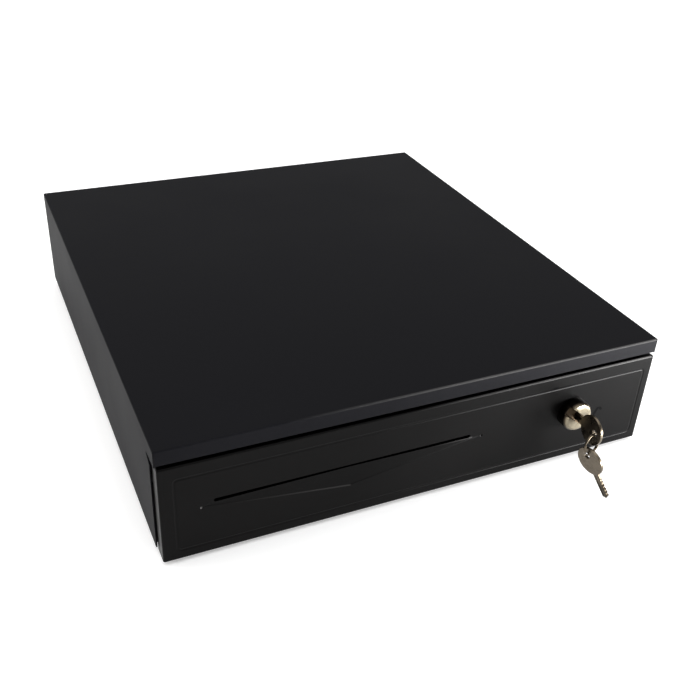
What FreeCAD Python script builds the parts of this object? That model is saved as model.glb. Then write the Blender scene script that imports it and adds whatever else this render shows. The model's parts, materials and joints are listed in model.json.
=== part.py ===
"""Cash drawer: a flat steel casing with a sliding drawer, a till tray inside, a key lock and a solenoid latch.

Millimetres. X runs to the right seen from the front, Y runs from the front to the back, Z is up.
Everything is modelled with the drawer's front face at Y = 0 and the bench top at Z = 0, and is moved
along Y when it is written, so that the origin lies under the middle of the whole object.
"""
import FreeCAD, Part
import math
import os

Vector = FreeCAD.Vector

# casing
case_width = 410.0
case_depth = 447.0
case_bottom = 7.0
case_top = 101.0
sheet = 1.0
bend_radius = 1.3
lip_bottom = 89.0
side_front = 13.5
side_notch_top = 88.0
pan_floor_top = 9.0
pan_wall_top = 62.0

# drawer
travel = 320.0
front_left = -203.5
front_right = 204.9
front_bottom = 3.0
front_top = 85.3
front_sheet = 1.2
flange_depth = 14.0
box_half_width = 193.3
box_bottom = 14.0
box_top = 76.0
box_rear = 372.0
ear_rear = 420.0

# slot for cheques and large notes
slot_left = -165.8
slot_right = 37.0
slot_bottom = 47.1
slot_top = 50.4
pressing_left = Vector(-174.4, 0, 45.2)
pressing_right = Vector(46.8, 0, 46.9)
pressing_low = Vector(-63.0, 0, 30.9)
pressing_step = 0.35
pressing_depth = 1.8

# telescopic slides
slide_height = 42.0
ball_radius = 2.0
ball_x = 197.9
ball_z = 14.27
cage_front = 186.0
cage_length = 70.0

# till
till_half_width = 187.0
till_front = 34.0
till_rear = 336.0
till_bottom = 35.0
till_top = 84.0
till_floor = 37.0
axle_y = 327.0
axle_z = 74.0
axle_radius = 2.0
clip_reach = 85.0
clip_rest_angle = 23.65

# lock and keys
lock_x = 130.9
lock_z = 48.6
lock_face = -10.3
plug_radius = 5.0
key_thickness = 2.2
key_hole_y = -31.8
bow_centre_y = -26.7
bow_half_length = 12.3
bow_half_height = 12.6
key_hole_radius = 2.9
ring_wire = 1.1
ring_tilt = -18.0
blade_tip_y = 5.7
spare_hole = Vector(125.3, -34.5, 31.2)
spare_tip = Vector(135.5, -55.2, 0.4)
spare_roll = 20.0

# latch at the rear
latch_pivot_x = 20.0
latch_pivot_y = 412.0
latch_swing = 10.0
solenoid_y = 428.0
solenoid_z = 46.0

# distance from the middle of the whole object to the drawer's front face
front_face_y = -196.24


def block(x0, x1, y0, y1, z0, z1):
    """Axis-aligned box between two corners."""
    return Part.makeBox(x1 - x0, y1 - y0, z1 - z0, Vector(x0, y0, z0))


def rod(start, end, radius):
    """Round bar between two points."""
    start = Vector(*start)
    run = Vector(*end) - start
    return Part.makeCylinder(radius, run.Length, start, run)


def prism(points, run):
    """Flat polygon pushed along a straight run."""
    corners = [Vector(*p) for p in points]
    return Part.Face(Part.makePolygon(corners + corners[:1])).extrude(Vector(*run))


def join(shapes):
    """One solid out of several that touch or overlap."""
    return shapes[0].multiFuse(shapes[1:]).removeSplitter()


def both_sides(shape):
    """A right-hand shape together with its left-hand twin."""
    return [shape, shape.mirror(Vector(0, 0, 0), Vector(1, 0, 0))]


def left_twin(shape):
    """The left-hand version of a right-hand shape."""
    return shape.mirror(Vector(0, 0, 0), Vector(1, 0, 0))


def rounded(shape, radius, wanted):
    """Rounds every edge whose bounding box passes the test."""
    edges = [e for e in shape.Edges if wanted(e.BoundBox)]
    return shape.makeFillet(radius, edges)


def is_vertical(box):
    """True for the bounding box of an upright edge."""
    return box.ZLength > 1.0 and box.XLength < 0.01 and box.YLength < 0.01


def screw(seat, direction, head_radius, head_height, shank_radius, shank_length):
    """Pan-head screw with a cross recess: the head sits on the seat and the shank runs along the direction."""
    seat = Vector(*seat)
    along = Vector(*direction)
    head = Part.makeCylinder(head_radius, head_height, seat, along * -1)
    rim = [e for e in head.Edges if (e.CenterOfMass - (seat - along * head_height)).Length < 0.01]
    head = head.makeFillet(head_height * 0.45, [rim[0]])
    shank = Part.makeCylinder(shank_radius, shank_length, seat, along)
    turned = FreeCAD.Rotation(Vector(0, 0, 1), along)
    width = head_radius * 0.26
    recess = []
    for angle in (0, 90):
        bar = Part.makeBox(head_radius * 1.2, width, head_height * 0.5)
        bar.translate(Vector(-head_radius * 0.6, -width / 2, 0))
        bar.rotate(Vector(0, 0, 0), Vector(0, 0, 1), angle)
        bar.Placement = FreeCAD.Placement(seat - along * head_height, turned).multiply(bar.Placement)
        recess.append(bar)
    return head.fuse(shank).cut(recess[0].fuse(recess[1]))


def coil(centre, direction, radius, wire, length, turns):
    """Wire spring along a direction, starting at a point, made of short straight runs of eight-sided wire."""
    steps = 16 * turns
    points = []
    for step in range(steps + 1):
        angle = 2 * math.pi * step / 16
        points.append(Vector(radius * math.cos(angle), radius * math.sin(angle), length * step / steps))
    run = points[1] - points[0]
    up = run.cross(Vector(1, 0, 0)).normalize()
    side = up.cross(run).normalize()
    section = []
    for corner in range(8):
        angle = math.pi / 4 * corner
        section.append(points[0] + side * (wire * math.cos(angle)) + up * (wire * math.sin(angle)))
    pipe = Part.BRepOffsetAPI.MakePipeShell(Part.makePolygon(points))
    pipe.setTransitionMode(1)
    pipe.add(Part.makePolygon(section + section[:1]))
    pipe.build()
    pipe.makeSolid()
    spring = pipe.shape()
    turned = FreeCAD.Rotation(Vector(0, 0, 1), Vector(*direction))
    spring.Placement = FreeCAD.Placement(Vector(*centre), turned)
    return spring


def cable(points, radius):
    """Round lead through a row of points."""
    pieces = []
    for start, end in zip(points, points[1:]):
        pieces.append(rod(start, end, radius))
    for point in points[1:-1]:
        pieces.append(Part.makeSphere(radius, Vector(*point)))
    return join(pieces)


# ---------------------------------------------------------------- casing


def cover_screw_places():
    """Screws under the side returns of the cover."""
    return [(x, y) for x in (-198.0, 198.0) for y in (60.0, 230.0, 400.0)]


def rear_screw_places():
    """Screws through the cover's rear lip."""
    return [-150.0, 0.0, 150.0]


def foot_places():
    """Middles of the four feet."""
    return [(x, y) for x in (-172.0, 172.0) for y in (62.0, 398.0)]


def bracket_screw_places():
    """Screws that hold the latch bracket to the pan."""
    return [(x, y) for x in (-71.0, 39.0) for y in (405.0, 435.0)]


def slide_rivet_places():
    """Rivets along each fixed slide rail."""
    return [50.0, 150.0, 300.0, 410.0]


def top_cover():
    """Folded cover: top, two sides, the lip over the drawer, a rear lip and returns under the pan."""
    half = case_width / 2
    outer = block(-half, half, 0, case_depth, case_bottom, case_top)
    outer = rounded(outer, bend_radius, lambda b: b.ZMin > case_top - 0.1 or is_vertical(b))
    inner = block(-half + sheet, half - sheet, sheet, case_depth - sheet, case_bottom - 1, case_top - sheet)
    inner = rounded(inner, bend_radius - sheet, lambda b: b.ZMin > case_top - sheet - 0.1 or is_vertical(b))
    cover = outer.cut(inner)
    cover = cover.cut(block(-half - 1, half + 1, -1, side_front, case_bottom - 2, side_notch_top))
    relief = [(side_front - 1, 80.5), (side_front + 7.5, 86.4), (side_front + 7.5, 87.3), (side_front - 1, 88)]
    cover = cover.cut(prism([(-half - 1, y, z) for y, z in relief], (case_width + 2, 0, 0)))
    cover = cover.cut(block(half - 2, half + 1, -1, flange_depth + 0.5, case_bottom - 2, side_notch_top))
    cover = cover.cut(block(-half + sheet, half - sheet, -1, 2, side_notch_top - 1, lip_bottom))
    cover = cover.cut(block(-half + sheet, half - sheet, case_depth - 2, case_depth + 1, 0, 86))
    returns = both_sides(block(half - 12, half - sheet / 2, 20, 440, case_bottom, case_bottom + sheet))
    lip_return = block(-half + sheet, half - sheet, sheet / 2, 7, lip_bottom, lip_bottom + sheet)
    cover = join([cover, lip_return] + returns)
    for x, y in cover_screw_places():
        cover = cover.cut(rod((x, y, case_bottom - 1), (x, y, case_bottom + 2), 1.6))
    for x in rear_screw_places():
        cover = cover.cut(rod((x, case_depth - 2, 93), (x, case_depth + 1, 93), 1.6))
    return cover


def base_pan():
    """Folded pan: floor with ribs, side walls for the slides, a front sill, a rear wall and the lock's catch."""
    outer_x = 203.9
    inner_x = outer_x - sheet
    floor_bottom = pan_floor_top - sheet
    floor = block(-outer_x, outer_x, 17, 446, floor_bottom, pan_floor_top)
    walls = both_sides(block(inner_x, outer_x, 17, 446, floor_bottom, pan_wall_top))
    rear = block(-outer_x, outer_x, 445, 446, floor_bottom, 99.8)
    sill = block(-outer_x, outer_x, 17, 18, floor_bottom, 13)
    ribs = [block(x - 3, x + 3, 60, 360, pan_floor_top, pan_floor_top + 1.5) for x in (-120, -40, 40, 120)]
    catch = block(lock_x - 12, lock_x + 12, 19, 20.2, pan_floor_top, 13.4)
    pan = join([floor, rear, sill, catch] + walls + ribs)
    cuts = [rod((x, y, 6), (x, y, 10), 1.6) for x, y in cover_screw_places()]
    cuts += [rod((x, y, 6), (x, y, 10), 1.9) for x, y in foot_places()]
    cuts += [rod((x, y, 6), (x, y, 10), 1.5) for x, y in bracket_screw_places()]
    cuts += [rod((x, 444, 93), (x, 447, 93), 1.6) for x in rear_screw_places()]
    for y in slide_rivet_places():
        cuts.append(rod((-205, y, slide_height), (-202, y, slide_height), 1.6))
        cuts.append(rod((202, y, slide_height), (205, y, slide_height), 1.6))
    cuts.append(block(-128, -112, 444, 447, 50, 64))
    return pan.cut(cuts[0].multiFuse(cuts[1:]))


def cover_screws():
    """Screws driven up through the cover's returns into the pan."""
    return [screw((x, y, case_bottom), (0, 0, 1), 3.0, 1.8, 1.55, 5.5) for x, y in cover_screw_places()]


def rear_screws():
    """Screws through the cover's rear lip into the pan's rear wall."""
    return [screw((x, case_depth, 93), (0, -1, 0), 3.0, 1.8, 1.55, 5.5) for x in rear_screw_places()]


def rubber_feet():
    """Tapered feet, hollow below for their screws."""
    feet = []
    for x, y in foot_places():
        foot = Part.makeCone(8.5, 10.0, 8.0, Vector(x, y, 0))
        foot = rounded(foot, 0.8, lambda b: b.ZMax < 0.1)
        foot = foot.cut(rod((x, y, -1), (x, y, 4), 4.6))
        feet.append(foot.cut(rod((x, y, 3), (x, y, 9), 1.9)))
    return feet


def foot_screws():
    """One screw up through each foot."""
    return [screw((x, y, 4), (0, 0, 1), 3.6, 2.2, 1.85, 8.0) for x, y in foot_places()]


def outer_slide():
    """Right-hand fixed rail: a channel whose lips keep the balls in."""
    z = slide_height
    web = block(201.7, 202.9, 24, 430, z - 17.5, z + 17.5)
    parts = [web, block(195.2, 201.8, 428.8, 430, z - 6, z + 6)]
    for side in (-1, 1):
        low, high = sorted((z + side * 16.3, z + side * 17.5))
        parts.append(block(194.7, 202.9, 24, 430, low, high))
        low, high = sorted((z + side * 15.1, z + side * 16.3))
        parts.append(block(194.7, 195.7, 24, 430, low, high))
    rail = join(parts)
    for y in slide_rivet_places():
        rail = rail.cut(rod((201, y, z), (204, y, z), 1.6))
    return rail


def outer_slide_left():
    return left_twin(outer_slide())


def outer_slide_rivets():
    """Flush rivets through the pan's side walls and the fixed rails."""
    rivets = []
    for y in slide_rivet_places():
        rivets += both_sides(rod((201.75, y, slide_height), (203.9, y, slide_height), 1.6))
    return rivets


def rubber_buffers():
    """Stops for the drawer's rear ears."""
    return both_sides(rounded(rod((193, 420.6, 68), (193, 445, 68), 5.0), 0.8, lambda b: b.YMax < 421))


def signal_socket():
    """Modular socket for the signal lead, open towards the rear."""
    body = block(-128, -112, 430, 446.6, 50, 64)
    mouth = block(-125, -115, 434, 448, 53, 61)
    key_way = block(-122, -118, 436, 448, 60.9, 62.6)
    return body.cut(mouth).cut(key_way)


def socket_contacts():
    """Six gold wires along the floor of the socket."""
    return [rod((-123.75 + 1.5 * i, 435, 53.35), (-123.75 + 1.5 * i, 444, 53.35), 0.3) for i in range(6)]


def wiring_harness():
    """Leads from the socket to the solenoid and to the switch."""
    main = cable([(-120, 430, 57), (-120, 422, 57), (-90, 422, 57), (-70, 430, 52), (-60, 430, 52)], 1.5)
    second = cable([(-120, 424, 57), (-120, 424, 36), (-107, 424, 36), (-107, 418, 36)], 1.0)
    return join([main, second])


def latch_bracket():
    """Bridge over the pan that carries the solenoid and the latch."""
    deck = block(-66, 34, 398, 442, 32, 33.5)
    legs = [block(-66, -64.5, 398, 442, 9, 33.5), block(32.5, 34, 398, 442, 9, 33.5)]
    flanges = [block(-76, -64.5, 398, 442, 9, 10.5), block(32.5, 44, 398, 442, 9, 10.5)]
    bracket = join([deck] + legs + flanges)
    for x, y in bracket_screw_places():
        bracket = bracket.cut(rod((x, y, 8), (x, y, 12), 1.5))
    return bracket.cut(rod((latch_pivot_x, latch_pivot_y, 31), (latch_pivot_x, latch_pivot_y, 35), 2.0))


def bracket_screws():
    """Screws that hold the bracket down."""
    return [screw((x, y, 10.5), (0, 0, -1), 2.8, 1.6, 1.5, 2.5) for x, y in bracket_screw_places()]


def solenoid_frame():
    """Square iron loop around the coil."""
    shell = block(-60, -26, 418, 438, 33.5, 59)
    shell = shell.cut(block(-58, -28, 417, 439, 35.5, 57))
    return shell.cut(rod((-30, solenoid_y, solenoid_z), (-20, solenoid_y, solenoid_z), 4.1))


def solenoid_coil():
    """Wound bobbin with two end flanges."""
    y, z = solenoid_y, solenoid_z
    winding = rod((-56, y, z), (-30, y, z), 9.2)
    flanges = [rod((-57.9, y, z), (-56, y, z), 10.2), rod((-30, y, z), (-28.1, y, z), 10.2)]
    return join([winding] + flanges).cut(rod((-58.5, y, z), (-27, y, z), 4.08))


def solenoid_plunger():
    """Iron plunger with a tongue that takes the latch's pin."""
    y, z = solenoid_y, solenoid_z
    bar = rod((-54, y, z), (6, y, z), 4.0)
    step = block(4, 9, y - 4, y + 3.5, z - 5.5, z + 4)
    tongue = block(4, 24, y - 4, y + 3.5, z - 5.5, z - 3)
    angle = math.radians(latch_swing)
    pin_x = latch_pivot_x - 16 * math.sin(angle)
    pin_y = latch_pivot_y + 16 * math.cos(angle)
    slot = block(pin_x - 1.65, pin_x + 1.65, pin_y - 2.2, pin_y + 2.6, z - 6, z - 2)
    return join([bar, step, tongue]).cut(slot)


def plunger_spring():
    """Spring that pushes the plunger back out."""
    return coil((-25.4, solenoid_y, solenoid_z), (1, 0, 0), 5.2, 0.6, 28.5, 8)


def latch_pivot():
    """Shouldered pin that the latch turns on."""
    x, y = latch_pivot_x, latch_pivot_y
    stud = rod((x, y, 32), (x, y, 33.5), 2.0)
    shoulder = rod((x, y, 33.5), (x, y, 36.4), 4.0)
    shaft = rod((x, y, 36.4), (x, y, 39.6), 2.0)
    head = rod((x, y, 39.6), (x, y, 41), 4.0)
    return join([stud, shoulder, shaft, head])


def latch_lever():
    """Hooked lever, drawn back clear of the strike."""
    x, y = latch_pivot_x, latch_pivot_y
    low, thick = 36.5, 3.0
    outline = [(-1.2, 383.5), (-1.2, 389.4), (3.4, 389.4), (3.4, 400), (15, 415)]
    outline += [(25, 409), (12, 391), (8, 381.5), (2, 381.5)]
    arm = prism([(a, b, low) for a, b in outline], (0, 0, thick))
    boss = rod((x, y, low), (x, y, low + thick), 6.5)
    tail = block(x - 3.5, x + 3.5, y, y + 19.5, low, low + thick)
    pin = rod((x, y + 16, low), (x, y + 16, 43.6), 1.5)
    lever = join([arm, boss, tail, pin]).cut(rod((x, y, low - 1), (x, y, low + thick + 1), 2.05))
    lever.rotate(Vector(x, y, 0), Vector(0, 0, 1), latch_swing)
    return lever


def ejector_housing():
    """Tube on a foot that holds the kick-out spring."""
    barrel = rod((90, 400, 40), (90, 444.9, 40), 9.0)
    web = block(88.5, 91.5, 404, 440, 9, 35)
    foot = block(80, 100, 404, 440, 9, 11)
    return join([barrel, web, foot]).cut(rod((90, 399, 40), (90, 443.5, 40), 7.5))


def ejector_plunger():
    """Push rod with a broad cap, held back by the closed drawer."""
    cap = rounded(rod((90, 372.4, 40), (90, 376.4, 40), 9.0), 1.2, lambda b: b.YMax < 373)
    return join([cap, rod((90, 376, 40), (90, 421, 40), 5.0), rod((90, 420, 40), (90, 424, 40), 7.4)])


def ejector_spring():
    """Compressed spring behind the push rod."""
    return coil((90, 424.7, 40), (0, 1, 0), 6.2, 0.6, 18.0, 6)


def micro_switch():
    """Switch that reports an open drawer."""
    body = block(-110, -103.6, 398, 418, 30, 40)
    button = rod((-106.8, 403, 39), (-106.8, 403, 41), 1.2)
    return join([body, button])


def switch_lever():
    """Spring strip that rests on the switch and reaches to the drawer."""
    side = [(374, 43.2), (374, 43.7), (414, 41.7), (414, 41.2)]
    strip = prism([(-108.8, y, z) for y, z in side], (4, 0, 0))
    heel = block(-108.8, -104.8, 413, 415, 40, 41.7)
    roller = rod((-108.8, 375, 43.4), (-104.8, 375, 43.4), 1.8)
    return join([strip, heel, roller])


def switch_bracket():
    """Angle that holds the switch."""
    return join([block(-103.6, -102.1, 396, 422, 9, 44), block(-103.6, -90, 396, 422, 9, 10.5)])


# ---------------------------------------------------------------- drawer


def slot_pressing():
    """Shallow boat-shaped hollow under the slot: a crisp step at its edge, deepest in the middle."""
    rim = slot_bottom + 1.6
    inward = Vector(0, pressing_step, 0)
    mouth = [pressing_left, pressing_low, pressing_right, Vector(slot_right, 0, rim), Vector(slot_left, 0, rim)]
    left, low, right, top_right, top_left = mouth
    left_in = left + inward + Vector(4.0, 0, 0.5)
    low_in = low + inward + Vector(0, 0, 0.9)
    right_in = right + inward + Vector(-4.0, 0, 0.4)
    top_right_in = top_right + inward
    top_left_in = top_left + inward
    deep = Vector(pressing_low.x, pressing_depth, slot_bottom + 0.3)
    facets = [mouth, [top_left, top_left_in, top_right_in, top_right]]
    facets += [[left, low, low_in], [left, low_in, left_in], [low, right, right_in], [low, right_in, low_in]]
    facets += [[left, left_in, top_left_in], [left, top_left_in, top_left]]
    facets += [[right, top_right, top_right_in], [right, top_right_in, right_in]]
    floor = [left_in, low_in, right_in, top_right_in, top_left_in]
    for start, end in zip(floor, floor[1:] + floor[:1]):
        facets.append([start, end, deep])
    faces = [Part.Face(Part.makePolygon(facet + facet[:1])) for facet in facets]
    solid = Part.makeSolid(Part.makeShell(faces))
    if solid.Volume < 0:
        solid.reverse()
    return solid


def pressing_dimples():
    """Round dimple at each tip of the hollow."""
    tips = [pressing_left, pressing_right]
    return Part.makeCompound([Part.makeSphere(1.7, tip - Vector(0, 1.1, 0)) for tip in tips])


def border_groove():
    """Shallow round-bottomed groove that runs round the drawer front."""
    left, right, low, high = -192.7, 197.2, 11.3, 74.0
    corner, round_radius, depth = 3.0, 2.4, 0.28
    y = depth - round_radius
    inner = [(left + corner, low + corner), (right - corner, low + corner)]
    inner += [(right - corner, high - corner), (left + corner, high - corner)]
    corners = [Vector(x, y, z) for x, z in inner]
    path = Part.Face(Part.makePolygon(corners + corners[:1])).makeOffset2D(corner).OuterWire
    first = path.Edges[0]
    start = first.FirstParameter
    circle = Part.makeCircle(round_radius, first.valueAt(start), first.tangentAt(start))
    return path.makePipeShell([Part.Wire(circle)], True, False)


def drawer_front():
    """Folded front panel with its border, the slot with its pressing, and the hole for the lock."""
    left, right = front_left, front_right
    t = front_sheet
    outer = block(left, right, 0, flange_depth, front_bottom, front_top)
    outer = rounded(outer, 1.5, lambda b: b.YMax < 0.1 or b.YLength > 1.0)
    panel = outer.cut(block(left + t, right - t, t, flange_depth + 1, front_bottom + t, front_top - t))
    panel = panel.cut(block(left + 4, right - 4, 12, flange_depth + 1, 0, 100))
    returns = [block(left + t / 2, -181.5, flange_depth - t, flange_depth, 7, 81)]
    returns.append(block(181.5, right - t / 2, flange_depth - t, flange_depth, 7, 81))
    pressing = slot_pressing()
    backing = pressing.copy()
    backing.translate(Vector(0, t, 0))
    panel = join([panel, backing] + returns).cut(pressing).cut(pressing_dimples()).cut(border_groove())
    slot = block(slot_left, slot_right, -1, 6, slot_bottom, slot_top)
    slot = rounded(slot, 1.5, lambda b: b.YLength > 1.0)
    panel = panel.cut(slot).cut(rod((lock_x, -1, lock_z), (lock_x, 3, lock_z), 9.6))
    for x, z in front_screw_places():
        panel = panel.cut(rod((x, 11, z), (x, 16, z), 1.6))
    return panel


def front_screw_places():
    """Screws that hold the front panel to the box."""
    return [(x, z) for x in (-187.0, 187.0) for z in (22.0, 68.0)]


def drawer_box():
    """Folded steel drawer: floor, front and rear walls, and side walls that run on as ears."""
    w = box_half_width
    floor = block(-w, w, flange_depth, box_rear, box_bottom, box_bottom + sheet)
    front = block(-w, w, flange_depth, flange_depth + sheet, box_bottom, box_top)
    rear = block(-w, w, box_rear - sheet, box_rear, box_bottom, box_top)
    sides = both_sides(block(w - sheet, w, flange_depth, ear_rear, box_bottom, box_top))
    hems = both_sides(block(w - 5, w, flange_depth, box_rear, box_top - sheet, box_top))
    box = join([floor, front, rear] + sides + hems)
    cuts = [block(slot_left - 5, slot_right + 5, 13, 16, 43, 56)]
    cuts.append(rod((lock_x, 13, lock_z), (lock_x, 16, lock_z), 15))
    cuts.append(block(lock_x - 20, lock_x + 10, 21.2, 25.6, 13, 16))
    cuts += [rod((x, 13, z), (x, 16, z), 1.6) for x, z in front_screw_places()]
    for x, z in strike_rivet_places():
        cuts.append(rod((x, 370, z), (x, 373, z), 1.5))
    for y in inner_rivet_places():
        cuts.append(rod((-195, y, slide_height), (-192, y, slide_height), 1.6))
        cuts.append(rod((192, y, slide_height), (195, y, slide_height), 1.6))
    return box.cut(cuts[0].multiFuse(cuts[1:]))


def inner_rivet_places():
    """Rivets along each moving rail."""
    return [60.0, 180.0, 300.0, 400.0]


def strike_rivet_places():
    """Rivets of the strike plate."""
    return [(x, z) for x in (-12.0, 12.0) for z in (32.0, 44.0)]


def front_screws():
    """Screws from inside the box into the front panel's returns."""
    return [screw((x, 15, z), (0, -1, 0), 3.0, 1.8, 1.55, 3.6) for x, z in front_screw_places()]


def inner_slide():
    """Right-hand moving rail: a smaller channel that rides between the balls."""
    z = slide_height
    parts = [block(193.3, 194.5, 20, ear_rear, z - 12.24, z + 12.24)]
    for side in (-1, 1):
        low, high = sorted((z + side * 11.04, z + side * 12.24))
        parts.append(block(193.3, 200.8, 20, ear_rear, low, high))
        low, high = sorted((z + side * 12.24, z + side * 13.44))
        parts.append(block(200.0, 200.8, 20, ear_rear, low, high))
    rail = join(parts)
    for y in inner_rivet_places():
        rail = rail.cut(rod((193, y, z), (195, y, z), 1.6))
    return rail


def inner_slide_left():
    return left_twin(inner_slide())


def inner_slide_rivets():
    """Rivets with a flat head inside the box."""
    rivets = []
    for y in inner_rivet_places():
        shank = rod((192.3, y, slide_height), (194.5, y, slide_height), 1.6)
        head = rod((191.3, y, slide_height), (192.3, y, slide_height), 3.0)
        rivets += both_sides(shank.fuse(head))
    return rivets


def ball_cage():
    """Right-hand ball retainer: two drilled strips joined by a thin web."""
    y0, y1, z = cage_front, cage_front + cage_length, slide_height
    strips = []
    for side in (-1, 1):
        low, high = sorted((z + side * (ball_z - 0.5), z + side * (ball_z + 0.5)))
        strips.append(block(196.0, 201.5, y0, y1, low, high))
    cage = join([block(201.0, 201.5, y0, y1, z - ball_z - 0.5, z + ball_z + 0.5)] + strips)
    for y in ball_places():
        cage = cage.cut(rod((ball_x, y, z - 18), (ball_x, y, z + 18), ball_radius + 0.1))
    return cage


def ball_cage_left():
    return left_twin(ball_cage())


def ball_places():
    """Balls along one row of a cage."""
    return [cage_front + 9.0 + 13.0 * i for i in range(5)]


def slide_balls():
    """Steel balls of the right-hand slide."""
    rows = [slide_height - ball_z, slide_height + ball_z]
    return [Part.makeSphere(ball_radius, Vector(ball_x, y, z)) for y in ball_places() for z in rows]


def slide_balls_left():
    return [left_twin(ball) for ball in slide_balls()]


def strike_plate():
    """Plate behind the box with a notch for the latch."""
    flange = block(-16, 16, box_rear, box_rear + 1.2, 28, 48)
    outline = [(-8, 373), (2, 373), (2, 380), (-2, 380), (-2, 390), (2, 390), (2, 393), (-3, 400), (-8, 400)]
    tongue = prism([(x, y, 37) for x, y in outline], (0, 0, 2))
    plate = join([flange, tongue])
    for x, z in strike_rivet_places():
        plate = plate.cut(rod((x, 371, z), (x, 375, z), 1.5))
    return plate


def strike_rivets():
    """Rivets through the box's rear wall and the strike plate."""
    rivets = []
    for x, z in strike_rivet_places():
        shank = rod((x, box_rear - sheet, z), (x, box_rear + 1.2, z), 1.5)
        rivets.append(shank.fuse(rod((x, box_rear + 1.2, z), (x, box_rear + 2.2, z), 2.8)))
    return rivets


def media_guide():
    """Sloping sheet behind the slot that turns a note down under the till."""
    x0, x1 = slot_left - 5, slot_right + 5
    outline = [(15, 57), (15, 66), (16, 66), (16, 58.2), (27.2, 42.6), (26.4, 41.9), (15.7, 57)]
    plate = prism([(x0, y, z) for y, z in outline], (x1 - x0, 0, 0))
    cheek = [(15, 40), (15, 58), (16, 58.2), (27.2, 42.6), (27.2, 40)]
    cheeks = [prism([(x, y, z) for y, z in cheek], (1, 0, 0)) for x in (x0, x1 - 1)]
    return join([plate] + cheeks)


def till_rests():
    """Angle rails that carry the till above the floor of the box."""
    rest = join([block(191.3, 192.3, 30, 350, 24, 35), block(182.3, 192.3, 30, 350, 34, 35)])
    return both_sides(rest)


def coin_well():
    """Room in the till for the coin tray."""
    return block(-184.8, 184.8, 36, 134, 44, 90)


def till_tray():
    """Moulded till: a well for the coin tray, one long note bay, holes for the clips' axle."""
    w = till_half_width
    body = block(-w, w, till_front, till_rear, till_bottom, till_top)
    body = rounded(body, 3.0, is_vertical)
    notes = block(-w + 2.2, w - 2.2, 136.5, till_rear - 2.2, till_floor, 90)
    notes = rounded(notes, 4.0, lambda b: b.ZMax < till_floor + 0.1 and b.XLength > 10)
    tray = body.cut(coin_well()).cut(notes)
    for x in bill_divider_places():
        tray = tray.cut(block(x - 1.0, x + 1.0, 135.5, 334.6, 40, 80.5))
    tray = tray.cut(block(-150, 150, 40, 130, till_bottom - 1, 42.5))
    for side in (-1, 1):
        low, high = sorted((side * (w - 3), side * (w + 1)))
        grip = rounded(block(low, high, 200, 260, 72, 90), 6.0, lambda b: b.XLength > 1 and b.ZMax < 73)
        tray = tray.cut(grip)
    return tray.cut(rod((-w - 1, axle_y, axle_z), (w + 1, axle_y, axle_z), axle_radius + 0.05))


def bill_divider_places():
    """Middles of the plates between the five note bays."""
    pitch = 369.6 / 5
    return [-184.8 + pitch * (i + 1) for i in range(4)]


def bill_dividers():
    """Upright plates between the note bays."""
    outline = [(135.7, 41.5), (141, till_floor), (329, till_floor), (334.4, 41.5)]
    outline += [(334.4, 80), (305, 80), (275, 64), (135.7, 64)]
    plates = []
    for x in bill_divider_places():
        plate = prism([(x - 0.9, y, z) for y, z in outline], (1.8, 0, 0))
        plates.append(plate.cut(rod((x - 2, axle_y, axle_z), (x + 2, axle_y, axle_z), axle_radius + 0.1)))
    return plates


def coin_cup(index):
    """Hollow of one pair of coin cups, scooped front and rear."""
    pitch = 368.8 / 4
    x0 = -184.4 + pitch * index
    cup = block(x0 + 1.2, x0 + pitch - 1.2, 38.4, 131.6, 46.0, 95)
    return rounded(cup, 20.0, lambda b: b.ZMax < 46.1 and b.XLength > 10)


def coin_tray():
    """Lift-out tray with four double cups."""
    tray = block(-184.4, 184.4, 36.4, 133.6, 44.0, till_top)
    for index in range(4):
        tray = tray.cut(coin_cup(index))
    return tray


def coin_dividers():
    """Loose plates that halve each double cup."""
    plates = []
    pitch = 368.8 / 4
    for index in range(4):
        middle = -184.4 + pitch * (index + 0.5)
        plates.append(coin_cup(index).common(block(middle - 0.8, middle + 0.8, 30, 140, 40, 80)))
    return plates


def clip_axle():
    """Rod across the note bays."""
    return rod((-till_half_width, axle_y, axle_z), (till_half_width, axle_y, axle_z), axle_radius)


def clip_places():
    """Middles of the five note bays."""
    pitch = 369.6 / 5
    return [-184.8 + pitch * (i + 0.5) for i in range(5)]


def bill_clip(index):
    """Sprung arm with a bar at its end that holds notes down."""
    x = clip_places()[index]
    y, z = axle_y, axle_z
    barrel = rod((x - 8, y, z), (x + 8, y, z), 4.2)
    arm = block(x - 6, x + 6, y - clip_reach, y - 3, z - 0.8, z + 0.8)
    bar = rod((x - 17, y - clip_reach, z), (x + 17, y - clip_reach, z), 2.5)
    tab = block(x - 6, x + 6, y - clip_reach - 0.8, y - clip_reach + 0.8, z, z + 6.5)
    clip = join([barrel, arm, bar, tab]).cut(rod((x - 9, y, z), (x + 9, y, z), axle_radius + 0.05))
    clip.rotate(Vector(x, y, z), Vector(1, 0, 0), clip_rest_angle)
    return clip


def clip_springs():
    """Torsion springs beside the clips' barrels."""
    return [coil((x + 9.0, axle_y, axle_z), (1, 0, 0), 3.1, 0.4, 5.0, 5) for x in clip_places()]


# ---------------------------------------------------------------- lock and keys


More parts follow.
